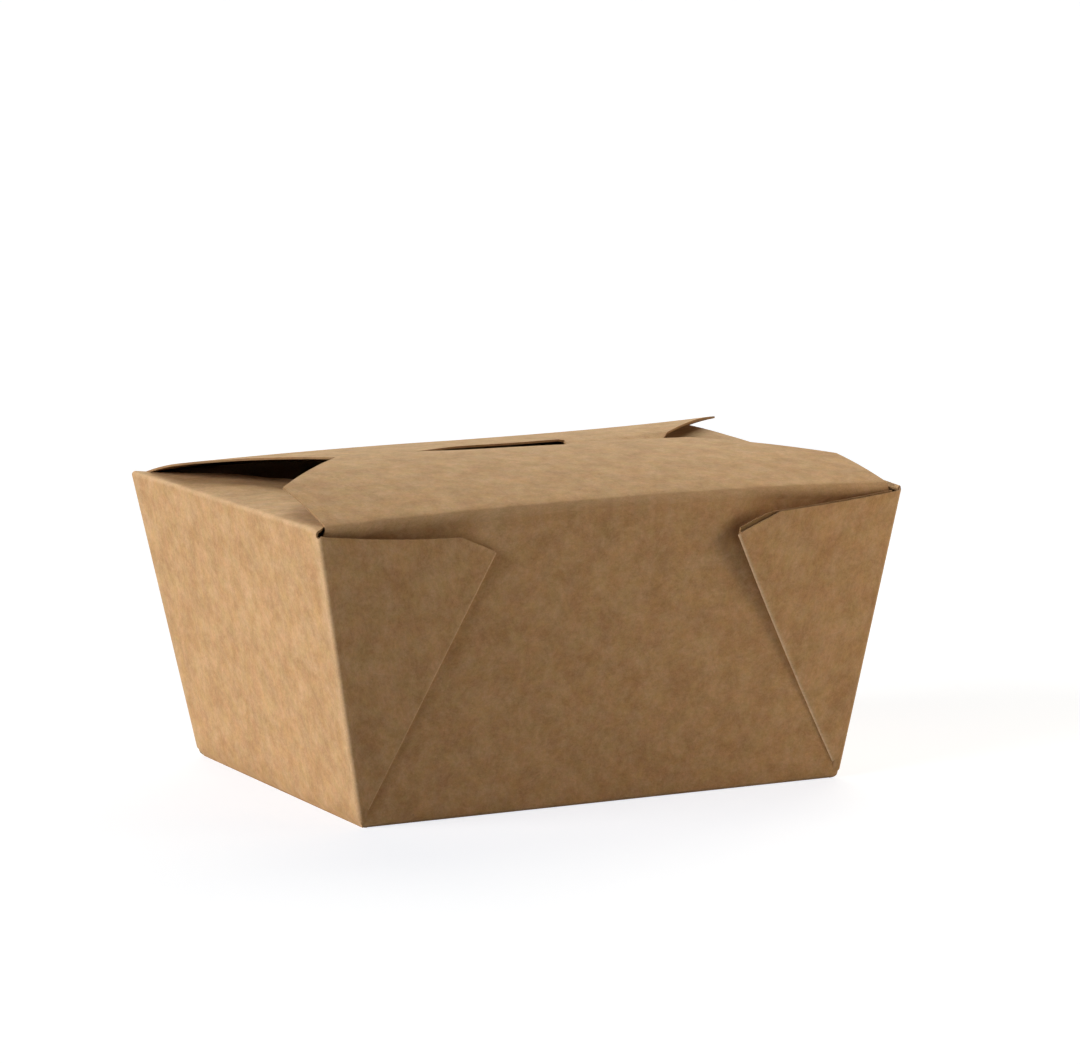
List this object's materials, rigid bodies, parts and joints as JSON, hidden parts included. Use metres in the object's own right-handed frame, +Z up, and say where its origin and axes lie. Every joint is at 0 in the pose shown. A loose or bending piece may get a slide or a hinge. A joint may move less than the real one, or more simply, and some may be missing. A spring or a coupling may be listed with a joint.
{
  "type": "folded board takeaway box",
  "caption": "Shut takeaway food box folded from brown kraft board, with slanted walls, folded corners and a tongue-and-slot top.",
  "frame": {"origin": "middle of the flat base, on the surface that the box stands on", "axes": "+X along the long side, -Y towards the long side whose flap lies on top, +Z up"},
  "size_m": [0.1419, 0.1058, 0.074],
  "materials": {
    "kraft_board": "uncoated kraft fibre, matt"
  },
  "bodies": {
    "root": {"box": "kraft_board"}
  },
  "joints": []
}
